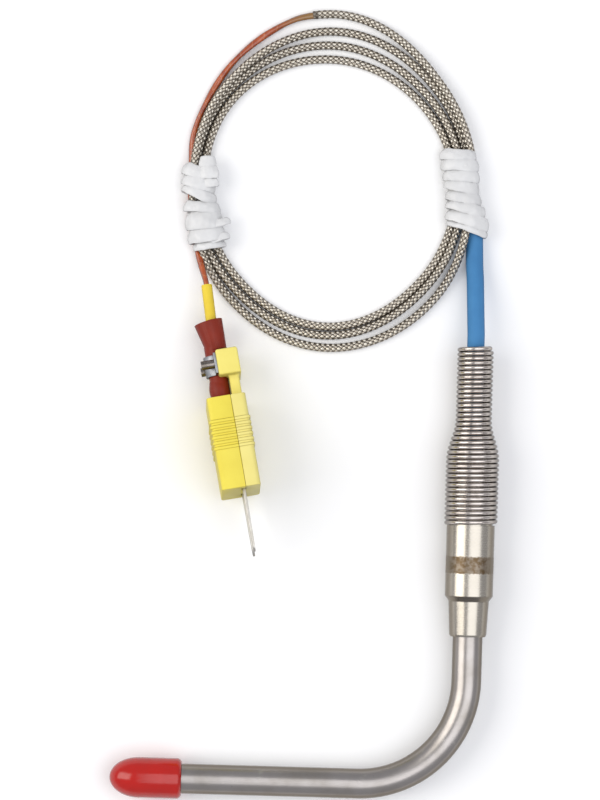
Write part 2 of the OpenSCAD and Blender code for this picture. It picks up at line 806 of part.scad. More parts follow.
module tip_cap() {
    round_edge = 0.6;
    straight = cap_length - cap_nose;
    depth = tip_length + 0.6;
    color([0.8, 0.12, 0.1])
    on_sheath_leg() translate([0, 0, shoulder_at + cap_clear]) difference() {
        union() {
            cylinder(d1 = cap_od - 2 * round_edge, d2 = cap_od, h = round_edge);
            translate([0, 0, round_edge]) cylinder(d = cap_od, h = straight - round_edge);
            translate([0, 0, straight]) rotate_extrude() polygon(concat([[0, 0]],
                [for (a = [0:6:90]) [cap_od / 2 * cos(a), cap_nose * sin(a)]]));
        }
        translate([0, 0, -1]) cylinder(d = cap_bore, h = depth + 1);
    }
}

sheath_tube();
end_plug();
ceramic_beads();
wire_positive();
wire_negative();
junction_bead();
transition_ferrule();
potting();
splice_barrels();
braid_crimp();
strain_spring();
lead_sleeve();
lead_tail();
lead_coil();
film_pair();
yellow_sleeve();
lead_grommet();
clamp_bracket();
clamp_saddle();
clamp_screws();
plug_base();
plug_cover();
cover_screw();
blade_positive();
blade_negative();
terminal_screws();
conductor_positive();
conductor_negative();
tie_left();
tie_right();
tip_cap();
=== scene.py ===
# %% [markdown]
# # A bent-tube thermocouple with a coiled lead
# This lesson dresses a small temperature probe: a bent steel tube with a soft red cap, a
# polished ferrule and a spring, then a braided lead in a tied coil and a yellow two-pin
# plug. The exact metal shapes come from CAD as a fixed frame. Blender adds what CAD is
# poor at: the woven braid, the wound ribbon ties, rounded mouldings and every finish.

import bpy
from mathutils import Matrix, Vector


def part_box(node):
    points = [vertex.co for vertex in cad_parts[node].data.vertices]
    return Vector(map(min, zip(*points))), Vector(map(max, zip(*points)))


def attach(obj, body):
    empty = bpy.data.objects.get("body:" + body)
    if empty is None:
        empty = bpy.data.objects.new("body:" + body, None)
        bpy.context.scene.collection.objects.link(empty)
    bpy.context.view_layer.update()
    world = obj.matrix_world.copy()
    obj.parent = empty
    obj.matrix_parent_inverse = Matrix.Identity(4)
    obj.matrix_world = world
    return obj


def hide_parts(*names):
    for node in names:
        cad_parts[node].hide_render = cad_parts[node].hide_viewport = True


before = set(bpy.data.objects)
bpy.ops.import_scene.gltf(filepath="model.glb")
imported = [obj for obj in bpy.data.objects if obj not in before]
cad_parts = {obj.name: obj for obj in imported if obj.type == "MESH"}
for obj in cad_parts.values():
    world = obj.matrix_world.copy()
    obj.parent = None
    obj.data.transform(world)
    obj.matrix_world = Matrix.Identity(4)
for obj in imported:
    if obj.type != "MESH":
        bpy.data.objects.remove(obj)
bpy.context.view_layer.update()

# %% Other things the lesson needs
import math

import bpy
from mathutils import Matrix, Vector

MM = 0.001
spring_low, spring_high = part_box("strain_spring")
ferrule_low, ferrule_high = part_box("transition_ferrule")
mouth = Vector(((ferrule_low.x + ferrule_high.x) / 2, spring_high.y, 0))
print("the lead leaves the spring at", [round(x, 4) for x in mouth])


def from_mouth(x, y, z=0):
    """A point given in millimetres from the spring's mouth, in metres in the frame."""
    return mouth + Vector((x, y, z)) * MM


# %% [markdown]
# ## The camera comes first
# The probe is looked at from straight above, turned a degree and a half. A long lens far
# away flattens the view the way a product picture is flat, and it still works for the
# other views, which an orthographic camera would not.

# %% A long lens straight above
LENS = 200
SENSOR = 36
FIELD = 170.2 * MM
CAMERA_TURN = 1.62
middle = from_mouth(-37.0, -12.5, 4)
camera_data = bpy.data.cameras.new("camera")
camera_data.lens = LENS
camera_data.sensor_width = SENSOR
camera = bpy.data.objects.new("camera", camera_data)
bpy.context.scene.collection.objects.link(camera)
camera.location = middle + Vector((0, 0, FIELD / 2 * LENS / (SENSOR / 2)))
camera.rotation_euler = (0, 0, math.radians(CAMERA_TURN))
bpy.context.scene.camera = camera
print("camera height", round(camera.location.z, 3), "m")

# %% [markdown]
# ## Arithmetic for finishes
# A finish is a sum of masks and noises. Wrapping a socket in a class with + - * / keeps
# that readable: each operator adds a Math node. Any other node comes from one method.


# %% A socket that can be added and multiplied
class Signal:
    """An output socket of a material, with Python's operators as Math nodes."""

    def __init__(self, tree, socket=None):
        self.tree, self.socket = tree, socket

    def node(self, kind, settings=None, inputs=None, out=0):
        """Adds a node, sets it up, fills its sockets, and returns one output."""
        made = self.tree.nodes.new(kind)
        for name, value in (settings or {}).items():
            setattr(made, name, value)
        for name, value in (inputs or {}).items():
            if isinstance(value, Signal):
                self.tree.links.new(value.socket, made.inputs[name])
            else:
                made.inputs[name].default_value = value
        return Signal(self.tree, made.outputs[out] if made.outputs else None)

    def maths(self, operation, a, b=0.0):
        return self.node("ShaderNodeMath", {"operation": operation}, {0: a, 1: b})

    def __add__(self, other):
        return self.maths("ADD", self, other)

    def __radd__(self, other):
        return self.maths("ADD", other, self)

    def __sub__(self, other):
        return self.maths("SUBTRACT", self, other)

    def __rsub__(self, other):
        return self.maths("SUBTRACT", other, self)

    def __mul__(self, other):
        return self.maths("MULTIPLY", self, other)

    def __rmul__(self, other):
        return self.maths("MULTIPLY", other, self)

    def __truediv__(self, other):
        return self.maths("DIVIDE", self, other)

    def __pow__(self, other):
        return self.maths("POWER", self, other)


# %% [markdown]
# ## Shared steps of every finish
# Noise on Object coordinates gives stains, scuffs and grain in real millimetres. A soft
# step turns a noise into patches. A colour blend goes through a Mix node, because a Math
# node would turn it grey.

# %% Noise, soft steps, blends and the closing shader
def start_finish(name):
    material = bpy.data.materials.new(name)
    material.use_nodes = True
    material.node_tree.nodes.clear()
    return material, Signal(material.node_tree)


def place(box, stretch=(1, 1, 1)):
    """Object coordinates in millimetres, stretched along each axis."""
    where = box.node("ShaderNodeTexCoord", out="Object")
    scale = [s / MM for s in stretch]
    return box.node("ShaderNodeMapping", {}, {"Vector": where, "Scale": scale})


def grain(box, where, size, detail=3.0, rough=0.55):
    """Noise from 0 to 1 whose blobs are about size across."""
    return box.node("ShaderNodeTexNoise", {}, {"Vector": where, "Scale": 1 / size, "Detail": detail,
                                               "Roughness": rough})


def step(signal, low, high):
    """0 below low, 1 above high, smooth between."""
    return signal.node("ShaderNodeMapRange", {"interpolation_type": "SMOOTHSTEP"},
                       {"Value": signal, "From Min": low, "From Max": high})


# Places of the Mix node's colour sockets, which share their names with its number sockets
MIX_A, MIX_B, MIX_RESULT = 6, 7, 2


def blend(mask, first, second):
    """The first colour where the mask is 0, the second where it is 1."""
    colours = {}
    for key, colour in ((MIX_A, first), (MIX_B, second)):
        colours[key] = colour if isinstance(colour, Signal) else (*colour, 1)
    return mask.node("ShaderNodeMix", {"data_type": "RGBA"}, {0: mask, **colours}, out=MIX_RESULT)


def painted_rim_shade(box, low=0.16, high=0.6):
    """Mask of a painted shade: 0 where a surface faces the viewer, 1 where it turns away, as at the sides of
    a bar.
    """
    away = box.node("ShaderNodeLayerWeight", {}, {"Blend": 0.5}, out="Facing")
    return step(away, low, high)


def close_finish(box, colour, roughness, height=None, depth=0.05, **fixed):
    """Principled shader with a bump whose depth is in millimetres; fixed values sit on its sockets."""
    sockets = {"Base Color": colour if isinstance(colour, Signal) else (*colour, 1), "Roughness": roughness}
    if height is not None:
        sockets["Normal"] = box.node("ShaderNodeBump", {}, {"Height": height, "Distance": depth * MM,
                                                            "Strength": 1.0})
    sockets.update(fixed)
    shader = box.node("ShaderNodeBsdfPrincipled", {}, sockets)
    box.node("ShaderNodeOutputMaterial", {}, {"Surface": shader})


# %% [markdown]
# ## Metals
# The tube is drawn stainless steel, satin, faintly brown from heat, with handling scuffs.
# The ferrule is turned and polished, so its grain runs round it, and an etched band on
# its body is left plain. Spring wire is bright and smooth. Steel gets a painted
# reflection: its colour is darker where it turns away from the camera, for the dark of
# the room that it would mirror there.

# %% Satin tube steel
def make_tube_steel():
    material, box = start_finish("tube_steel")
    where = place(box)
    clouds = grain(box, where, 9, 4)
    specks = grain(box, where, 0.5, 5, 0.7)
    scuffs = step(grain(box, place(box, (1, 1, 0.4)), 2.2, 6, 0.75), 0.58, 0.68)
    stain = step(clouds, 0.4, 0.7)
    colour = blend(stain, (0.37, 0.345, 0.33), (0.3, 0.275, 0.25))
    colour = blend(scuffs * 0.4, colour, (0.5, 0.48, 0.45))
    # Painted reflection: darker where the tube turns away from the camera
    colour = blend(painted_rim_shade(box), colour, (0.15, 0.125, 0.095))
    roughness = 0.24 + specks * 0.1 + scuffs * 0.12 + stain * 0.05
    close_finish(box, colour, roughness, specks * 0.5 + scuffs * 0.5, 0.012, Metallic=1.0)
    return material


tube_steel = make_tube_steel()


# %% Turned and polished ferrule steel, with its etched band
# Millimetres from the nose's end
BAND = (13.3, 17.2)
DARK_RING = (7.3, 8.8)
SOFT_EDGE = 0.3


def between(along, start, end):
    """1 from start to end, with soft edges inside them."""
    return step(along, start, start + SOFT_EDGE) * (1 - step(along, end - SOFT_EDGE, end))


def make_ferrule_steel():
    material, box = start_finish("ferrule_steel")
    along = box.node("ShaderNodeSeparateXYZ", {}, {"Vector": place(box)}, out="Y")
    rings = grain(box, place(box, (0.05, 1, 0.05)), 0.12, 3, 0.6)
    clouds = grain(box, place(box), 5, 3)
    nose_end = ferrule_low.y / MM
    edge = (grain(box, place(box), 0.6, 4) - 0.5) * 0.9
    band = between(along + edge, nose_end + BAND[0], nose_end + BAND[1])
    ring = between(along, nose_end + DARK_RING[0], nose_end + DARK_RING[1])
    mottle = step(grain(box, place(box), 1.3, 5, 0.7), 0.4, 0.6)
    colour = blend(clouds, (0.48, 0.445, 0.39), (0.4, 0.37, 0.32))
    colour = blend(band * (0.62 + mottle * 0.33), colour, (0.12, 0.075, 0.035))
    colour = blend(ring * 0.7, colour, (0.07, 0.055, 0.045))
    # Painted reflection: darker where the ferrule turns away from the camera
    colour = blend(painted_rim_shade(box), colour, (0.2, 0.17, 0.13))
    roughness = 0.2 + rings * 0.12 + band * 0.18
    close_finish(box, colour, roughness, rings, 0.006, Metallic=1.0)
    return material


ferrule_steel = make_ferrule_steel()


# %% Bright drawn spring wire and small plated parts
def make_bright_metal(name, light, dark, low, spread):
    material, box = start_finish(name)
    where = place(box)
    patches = grain(box, where, 2.4, 4)
    fine = grain(box, where, 0.25, 4, 0.7)
    colour = blend(step(patches, 0.35, 0.7), light, dark)
    # Painted reflection: darker where the metal turns away from the camera
    colour = blend(painted_rim_shade(box, 0.2, 0.75), colour, tuple(c * 0.45 for c in dark))
    close_finish(box, colour, low + fine * spread, fine, 0.008, Metallic=1.0)
    return material


spring_steel = make_bright_metal("spring_steel", (0.62, 0.57, 0.53), (0.46, 0.41, 0.37), 0.16, 0.12)
nickel = make_bright_metal("nickel", (0.55, 0.53, 0.49), (0.45, 0.43, 0.38), 0.32, 0.15)
screw_steel = make_bright_metal("screw_steel", (0.26, 0.23, 0.21), (0.16, 0.14, 0.12), 0.2, 0.12)
sheet_zinc = make_bright_metal("sheet_zinc", (0.4, 0.41, 0.43), (0.27, 0.28, 0.3), 0.32, 0.2)
wire_metal = make_bright_metal("wire_metal", (0.6, 0.57, 0.5), (0.5, 0.46, 0.4), 0.3, 0.15)
brass = make_bright_metal("brass", (0.72, 0.53, 0.24), (0.6, 0.42, 0.18), 0.25, 0.15)

# %% [markdown]
# ## Soft and moulded finishes
# The dipped vinyl cap is wet-glossy with a faint ripple. The sleeves are dull extrusions.
# The plug is moulded in yellow with a fine matt spark texture; its cover is drawn in a
# paler yellow, a painted sheen for the light on its angled face. The ribbon is soft thin
# film, whose creases are in the mesh. Each gets painted shade: its colour darkens a
# little where it turns away from the camera, as on the walls of the plug's grooves.


# %% A moulded or extruded plastic
def make_plastic(name, colour, patch_and_shade_tone, roughness, ripple=0.03, size=0.35, **fixed):
    material, box = start_finish(name)
    where = place(box)
    patches = step(grain(box, where, 6, 3), 0.3, 0.75)
    fine = grain(box, where, size, 4, 0.6)
    tone = blend(patches * 0.6 + fine * 0.25, colour, patch_and_shade_tone)
    # Painted shade: darker where the surface turns away from the camera
    tone = blend(painted_rim_shade(box, 0.3, 0.95) * 0.5, tone, tuple(c * 0.4 for c in patch_and_shade_tone))
    rough = roughness + (fine - 0.5) * 0.12 + patches * 0.04
    close_finish(box, tone, rough, fine, ripple, **fixed)
    return material


DULL = {"Specular IOR Level": 0.2}
cap_red = make_plastic("cap_red", (0.46, 0.007, 0.003), (0.37, 0.006, 0.003), 0.15, 0.015, 1.6,
                       **{"Specular IOR Level": 0.5})
sleeve_blue = make_plastic("sleeve_blue", (0.06, 0.22, 0.45), (0.045, 0.17, 0.37), 0.6, 0.02, 0.25, **DULL)
sleeve_yellow = make_plastic("sleeve_yellow", (0.8, 0.62, 0.055), (0.68, 0.48, 0.04), 0.5, **DULL)
grommet_brown = make_plastic("grommet_brown", (0.24, 0.026, 0.012), (0.16, 0.016, 0.009), 0.42, 0.02, 0.5,
                             **DULL)
plug_yellow = make_plastic("plug_yellow", (0.8, 0.68, 0.09), (0.74, 0.61, 0.075), 0.45, 0.015, 0.2, **DULL)
# Painted sheen: the cover's yellow is the base's plastic drawn paler, for the light on its angled face
plug_pale = make_plastic("plug_pale", (0.79, 0.7, 0.23), (0.74, 0.64, 0.19), 0.45, 0.015, 0.2, **DULL)
clamp_yellow = make_plastic("clamp_yellow", (0.82, 0.72, 0.19), (0.76, 0.65, 0.15), 0.45, 0.015, 0.2, **DULL)
ribbon_white = make_plastic("ribbon_white", (0.68, 0.68, 0.68), (0.58, 0.58, 0.58), 0.4, 0.04, 0.8)
ceramic = make_plastic("ceramic", (0.85, 0.82, 0.74), (0.76, 0.72, 0.64), 0.75, 0.03, 0.2)
potting_dark = make_plastic("potting_dark", (0.05, 0.04, 0.035), (0.03, 0.025, 0.02), 0.5, 0.05, 0.6)

# %% [markdown]
# ## The route of the braided lead
# The lead leaves the spring, drops to the table and enters the coil under the right tie.
# It then makes three turns and a bit. Each turn lies in its own lane, given by a few
# radii round the coil's middle, and it changes lane under the right tie.

# %% Lanes of the coil
COIL_AT = (-31.9, 32.3)
LANES = [
    ([26.9, 27, 28, 28.5, 27, 27.2, 29, 27.4], [0.95] * 8),
    ([28.3, 29.1, 31, 30.4, 28.8, 29.1, 30.9, 29.1], [2.1, 1.2, 0.95, 0.95, 0.95, 0.95, 0.95, 1.5]),
    ([29.7, 31.4, 34, 31.5, 29.2, 31.1, 33.5, 32.1], [0.95, 0.95, 0.95, 2.3, 2.7, 0.95, 0.95, 1.0]),
    ([30.7, 32.7, 37.7, 34, 31, 31, 31, 31], [2.45, 2.3, 0.95, 0.95, 0.95, 0.95, 0.95, 0.95]),
]
LAST_ANGLE = 3 * 360 + 97
# Where one turn climbs over another: (angle, width in degrees, lift in mm)
LATE_CLIMB, EARLY_CLIMB = (1063, 13, 3.4), (366, 8, 1.3)
ENTRY_R, ENTRY_Z = 29.4, 1.4
LANE_CHANGE = 20
LOWEST = 0.93


def around(values, angle):
    """The value at an angle of a smooth closed curve through evenly spaced values."""
    count = len(values)
    u = angle / 360 * count
    i = math.floor(u)
    f = u - i
    p, q, r, s = (values[(i + k) % count] for k in (-1, 0, 1, 2))
    bend = f * (p - 2.5 * q + 2 * r - s / 2 + f * ((s - p) / 2 + 1.5 * (q - r)))
    return q + f * ((r - p) / 2 + bend)


def smooth(t):
    t = min(max(t, 0.0), 1.0)
    return t * t * (3 - 2 * t)


def climb(angle, crossing):
    centre, width, lift = crossing
    return lift * math.exp(-(((angle - centre) / width) ** 2))


def coil_point(angle):
    """A point of the coiled part, by the angle turned since the first crossing of +X."""
    turn = min(int(max(angle, 0) // 360), 3)
    here = angle - 360 * turn
    radii, heights = LANES[turn]
    r, z = around(radii, here), around(heights, here)
    if here > 360 - LANE_CHANGE and turn < 3:
        share = smooth((here - 360 + LANE_CHANGE) / (2 * LANE_CHANGE))
        r += share * (around(LANES[turn + 1][0], here) - r)
        z += share * (around(LANES[turn + 1][1], here) - z)
    elif here < LANE_CHANGE and turn > 0:
        share = 1 - smooth((here + LANE_CHANGE) / (2 * LANE_CHANGE))
        r += share * (around(LANES[turn - 1][0], here) - r)
        z += share * (around(LANES[turn - 1][1], here) - z)
    if turn == 2 or (turn == 3 and here < LANE_CHANGE):
        z += climb(angle, LATE_CLIMB)
    if turn in (0, 1):
        z += climb(angle, EARLY_CLIMB)
    if turn == 0 and here < LANE_CHANGE:
        share = 1 - smooth((here + 2) / LANE_CHANGE)
        r, z = r + share * (ENTRY_R - r), z + share * (ENTRY_Z - z)
    a = math.radians(here)
    return from_mouth(COIL_AT[0] + r * math.cos(a), COIL_AT[1] + r * math.sin(a), max(z, LOWEST))


# %% The whole route, evenly spaced
FIRST_RUN = [(0, 0, 5.7), (0, 2.5, 5.6), (-0.1, 5, 5.3), (-0.2, 8, 4.7), (-0.3, 11, 3.9), (-0.4, 14, 3.1),
             (-0.6, 17, 2.4), (-0.7, 20, 2.0), (-0.8, 23, 1.95), (-0.9, 26, 1.95), (-1.4, 28.5, 1.7)]


def rounded(points, spacing):
    """The same route as one smooth curve (Catmull-Rom), cut into equal steps."""
    ends = [points[0] * 2 - points[1], *points, points[-1] * 2 - points[-2]]
    fine = []
    for p, q, r, s in zip(ends, ends[1:], ends[2:], ends[3:]):
        count = max(2, math.ceil((r - q).length / spacing * 2))
        for k in range(count):
            f = k / count
            bend = f * (2 * p - 5 * q + 4 * r - s + f * (3 * q - p - 3 * r + s))
            fine.append(q + 0.5 * f * (r - p + bend))
    fine.append(points[-1])
    travelled = [0.0]
    for a, b in zip(fine, fine[1:]):
        travelled.append(travelled[-1] + (b - a).length)
    steps = round(travelled[-1] / spacing)
    even, k = [], 0
    for n in range(steps + 1):
        want = travelled[-1] * n / steps
        while k < len(fine) - 2 and travelled[k + 1] < want:
            k += 1
        share = (want - travelled[k]) / max(travelled[k + 1] - travelled[k], 1e-12)
        even.append(fine[k].lerp(fine[k + 1], share))
    return even, travelled[-1]


# One crossing of the braid's strands, in mm along the lead
PICK = 1.15
first_run = [from_mouth(*p) for p in FIRST_RUN]
coil_run = [coil_point(a) for a in range(3, LAST_ANGLE, 4)] + [coil_point(LAST_ANGLE)]
braid_path, braid_length = rounded(first_run + coil_run, PICK * MM / 5)
print("braided lead", round(braid_length, 4), "m in", len(braid_path), "rings")

# %% [markdown]
# ## Sweeping a cord
# A cord is a tube whose rings follow the route without twisting. Its UV map holds the
# share of the way round and the distance along, so a weave can follow it. A function may
# change the radius at each place, which raises the braid's strands in the mesh itself.


# %% A swept tube with its own map
def sweep(name, path, radius, sides, shape=None, repeat=1.0):
    """A closed tube along path. shape(share round, mm along) is a factor on the radius."""
    rings, sums, normal = [], [0.0], None
    for i, point in enumerate(path):
        ahead = (path[min(i + 1, len(path) - 1)] - path[max(i - 1, 0)]).normalized()
        if normal is None:
            normal = Vector((0, 0, 1)).cross(ahead).normalized()
        normal = (normal - ahead * normal.dot(ahead)).normalized()
        if i:
            sums.append(sums[-1] + (point - path[i - 1]).length / MM)
        other = ahead.cross(normal)
        ring = []
        for k in range(sides):
            a = 2 * math.pi * k / sides
            r = radius * (shape(k / sides, sums[-1]) if shape else 1)
            ring.append(point + (normal * math.cos(a) + other * math.sin(a)) * r)
        rings.append(ring)
    verts = [v for ring in rings for v in ring]
    faces, maps = [], []
    for i in range(len(path) - 1):
        for k in range(sides):
            m = (k + 1) % sides
            faces.append((i * sides + k, i * sides + m, (i + 1) * sides + m, (i + 1) * sides + k))
            low, high = sums[i] / repeat, sums[i + 1] / repeat
            left, right = k / sides, (k + 1) / sides
            maps += [(left, low), (right, low), (right, high), (left, high)]
    last = (len(path) - 1) * sides
    faces += [tuple(range(sides - 1, -1, -1)), tuple(range(last, last + sides))]
    maps += [(0.5, 0.0)] * sides + [(0.5, sums[-1] / repeat)] * sides
    mesh = bpy.data.meshes.new(name)
    mesh.from_pydata(verts, [], faces)
    uv = mesh.uv_layers.new(name="run")
    uv.data.foreach_set("uv", [x for pair in maps for x in pair])
    mesh.polygons.foreach_set("use_smooth", [True] * len(faces))
    made = bpy.data.objects.new(name, mesh)
    bpy.context.scene.collection.objects.link(made)
    return made


def wear(piece, material, body):
    """Gives a piece its finish and the body it rides on."""
    piece.data.materials.clear()
    piece.data.materials.append(material)
    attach(piece, body)
    return piece


# %% [markdown]
# ## The woven braid
# Two families of flat strands run round the lead in opposite directions and pass over and
# under each other. Counting strands round and picks along gives two slanted coordinates.
# Their whole parts say which family is on top, and their fractions give a pillow there.

# %% Relief of the braid in the mesh
STRANDS = 5
BRAID_R = 0.9
VALLEY, PILLOW = 0.86, 0.17


def braid_relief(share, along):
    first = STRANDS * share + along / PICK
    second = STRANDS * share - along / PICK
    a, b = first - math.floor(first) - 0.5, second - math.floor(second) - 0.5
    pillow = math.cos(math.pi * a) * math.cos(math.pi * b)
    return VALLEY + PILLOW * pillow


braid = sweep("braid", braid_path, BRAID_R * MM, 6 * STRANDS, braid_relief, PICK)


# %% Finish of the braid
def make_braid_steel():
    material, box = start_finish("braid_steel")
    run = box.node("ShaderNodeUVMap", {"uv_map": "run"})
    round_share = box.node("ShaderNodeSeparateXYZ", {}, {"Vector": run}, out="X")
    along = box.node("ShaderNodeSeparateXYZ", {}, {"Vector": run}, out="Y")
    first = round_share * STRANDS + along
    second = round_share * STRANDS - along
    a = box.maths("FRACT", first) - 0.5
    b = box.maths("FRACT", second) - 0.5
    whole = box.maths("FLOOR", first) + box.maths("FLOOR", second)
    odd = box.maths("FLOORED_MODULO", whole, 2.0)
    across = odd * a + (1 - odd) * b
    over = odd * b + (1 - odd) * a
    round_top = box.maths("COSINE", across * math.pi)
    arch = box.maths("COSINE", over * (math.pi * 0.9))
    wires = box.maths("ABSOLUTE", box.maths("SINE", across * (5 * math.pi)))
    height = arch * (0.55 * (round_top ** 0.5) + 0.2 * wires)
    gap = 1 - step(round_top * arch, 0.1, 0.5)
    tint = grain(box, place(box), 3.0, 4)
    colour = blend(tint, (0.9, 0.86, 0.78), (0.74, 0.67, 0.54))
    # Painted shade: where one strand family lies on top, the colour is half darkened, as that family faces
    # away from the light
    colour = blend(odd * 0.5, colour, (0.24, 0.19, 0.14))
    # Painted reflection: darker where the braid turns away from the camera
    colour = blend(painted_rim_shade(box, 0.2, 0.8), colour, (0.16, 0.13, 0.1))
    end = braid_length / MM / PICK
    burnt = step(along, end - 1.6, end - 0.5)
    # Painted shade: the gaps between the strands are drawn nearly black; the burnt end of the braid is
    # darkened too
    dark = box.maths("MAXIMUM", gap * 0.9, burnt * 0.75)
    colour = blend(dark, colour, (0.075, 0.055, 0.04))
    close_finish(box, colour, 0.3 + gap * 0.3 + wires * 0.06, height, 0.18, Metallic=1.0)
    return material


wear(braid, make_braid_steel(), "probe")
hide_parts("lead_tail", "lead_coil")

# %% [markdown]
# ## The film-wrapped pair
# Where the braid stops, the two cores go on in a glossy amber film. The pair is twisted
# slowly, so its section is a waisted oval that turns along the way. It goes under the left
# tie and on into the yellow sleeve.

# %% Route and mesh of the pair
YELLOW_MOUTH = (-57.55, 11.4, 4.2)
PAIR_RUN = [(-35.9, 69.65, 0.95), (-37.3, 69.45, 0.95), (-39.9, 68.8, 0.9), (-42.5, 67.6, 0.85),
            (-44.9, 66.2, 0.8), (-47.3, 64.6, 0.8), (-50.7, 61.8, 0.8), (-53.7, 58.6, 0.8),
            (-56.2, 55.1, 0.8), (-58.4, 51.2, 0.8), (-60.1, 47.2, 0.8), (-61.3, 42.9, 0.8),
            (-61.6, 38.5, 0.95), (-61.6, 34, 0.95), (-61.4, 29.6, 0.95), (-60.9, 25.4, 0.95),
            (-60.3, 21.8, 1.0), (-59.6, 18.5, 1.3), (-58.7, 15.2, 2.4), YELLOW_MOUTH]
PAIR_R = 0.72
# The pair turns once in this many mm, and its film laps at this pitch
PAIR_TWIST, FILM_PITCH = 26, 3.2
yellow_low, yellow_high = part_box("yellow_sleeve")
sleeve_from = from_mouth(*YELLOW_MOUTH)
sleeve_to = Vector((yellow_high.x, yellow_low.y, yellow_high.z)) + Vector((-1.1, 1.0, -1.0)) * MM
pair_points = [from_mouth(*p) for p in PAIR_RUN] + [sleeve_from.lerp(sleeve_to, 0.5), sleeve_to]
pair_path, pair_length = rounded(pair_points, 0.6 * MM)


def pair_shape(share, along):
    turned = 2 * math.pi * (share - along / PAIR_TWIST)
    return 0.8 + 0.2 * abs(math.cos(turned)) ** 1.5


pair = sweep("film_pair_cord", pair_path, PAIR_R * MM, 16, pair_shape)
print("film-wrapped pair", round(pair_length, 4), "m")


# %% Amber film
def make_amber_film():
    material, box = start_finish("amber_film")
    run = box.node("ShaderNodeUVMap", {"uv_map": "run"})
    along = box.node("ShaderNodeSeparateXYZ", {}, {"Vector": run}, out="Y")
    turns = box.node("ShaderNodeSeparateXYZ", {}, {"Vector": run}, out="X")
    lap = box.maths("FRACT", along / FILM_PITCH + turns)
    edge = step(box.maths("ABSOLUTE", lap - 0.5), 0.42, 0.49)
    patches = grain(box, place(box), 2.2, 4)
    colour = blend(step(patches, 0.35, 0.7), (0.42, 0.085, 0.018), (0.25, 0.035, 0.008))
    colour = blend(edge * 0.35, colour, (0.6, 0.22, 0.07))
    bare = 1 - step(along + patches * 4, 3.0, 14.0)
    colour = blend(bare, colour, (0.24, 0.125, 0.035))
    # Painted shade: darker where the film turns away from the camera
    colour = blend(painted_rim_shade(box, 0.2, 0.8), colour, (0.09, 0.02, 0.01))
    close_finish(box, colour, 0.2 + patches * 0.12, edge + patches * 0.5, 0.03,
                 **{"Coat Weight": 0.5, "Coat Roughness": 0.1})
    return material


wear(pair, make_amber_film(), "probe")
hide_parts("film_pair")

# %% [markdown]
# ## Dressing a CAD piece
# A moulding has no knife edges. A copy of its CAD mesh is merged, its flat faces are
# rejoined, and a small bevel rounds each real edge and catches the light. The copy stands
# in for the CAD node, which keeps its place in the physics.

# %% Copy, merge, rejoin and bevel
def nothing_selected():
    if bpy.context.object and bpy.context.object.mode != "OBJECT":
        bpy.ops.object.mode_set(mode="OBJECT")
    bpy.ops.object.select_all(action="DESELECT")


def pick(piece):
    nothing_selected()
    piece.select_set(True)
    bpy.context.view_layer.objects.active = piece


def use_modifier(piece, kind, **settings):
    """Adds a modifier, sets it and applies it."""
    pick(piece)
    modifier = piece.modifiers.new(kind.lower(), kind)
    for name, value in settings.items():
        setattr(modifier, name, value)
    bpy.ops.object.modifier_apply(modifier=modifier.name)


def dress(node, material, body, edge, segments=2, angle=30, clamp=True):
    """A rounded copy of a CAD node in its finish. edge is the bevel in millimetres."""
    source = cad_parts[node]
    copy = bpy.data.objects.new(node + "_dressed", source.data.copy())
    bpy.context.scene.collection.objects.link(copy)
    pick(copy)
    bpy.ops.object.mode_set(mode="EDIT")
    bpy.ops.mesh.select_all(action="SELECT")
    bpy.ops.mesh.remove_doubles(threshold=0.002 * MM)
    bpy.ops.mesh.dissolve_limited(angle_limit=math.radians(1))
    bpy.ops.object.mode_set(mode="OBJECT")
    if copy.data.has_custom_normals:
        bpy.ops.mesh.customdata_custom_splitnormals_clear()
    use_modifier(copy, "BEVEL", width=edge * MM, segments=segments, limit_method="ANGLE",
                 angle_limit=math.radians(angle), use_clamp_overlap=clamp)
    pick(copy)
    bpy.ops.object.shade_smooth_by_angle(angle=math.radians(35))
    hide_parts(node)
    return wear(copy, material, body)


# %% [markdown]
# ## Probe, cap and ferrule
# The tube, the ferrule and the pieces inside are exact turned shapes, so their CAD meshes
# are kept and only get their finishes. The cap's lip is soft, so the cap is dressed.

# %% CAD nodes that keep their mesh
KEPT = {
    "sheath_tube": tube_steel, "end_plug": tube_steel, "transition_ferrule": ferrule_steel,
    "ceramic_beads": ceramic, "wire_positive": wire_metal, "wire_negative": wire_metal,
    "junction_bead": wire_metal, "potting": potting_dark, "splice_barrels": brass, "braid_crimp": brass,
    "terminal_screws": nickel, "conductor_positive": wire_metal, "conductor_negative": wire_metal,
    "cover_screw": nickel, "clamp_screws": screw_steel,
}
for name, material in KEPT.items():
    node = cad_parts[name]
    node.data.materials.clear()
    node.data.materials.append(material)
print("finished", len(KEPT), "CAD nodes")

# %% The dipped cap, with a soft lip
dress("tip_cap", cap_red, "cap", 0.5, segments=3, angle=20)

# %% [markdown]
# ## The spring
# CAD's spring is a faceted stand-in. A real one is round wire, so a bevelled curve
# follows the same helix: wide coils, a taper, then narrow coils. Its first coil starts at
# the left and its cut end shows at the upper right.

# %% Spring wire as a curve made solid
SPRING_WIDE, SPRING_TAPER, SPRING_NECK = 13.8, 8.8, 15.5
WIDE_R, NECK_R = 5.2, 3.4
WIRE = 0.95
TURNS = 37.417
FIRST_ANGLE = -math.pi


def coil_radius(s):
    f = min(max((s - SPRING_WIDE) / SPRING_TAPER, 0), 1)
    return NECK_R + (WIDE_R - NECK_R) * (1 + math.cos(math.pi * f)) / 2


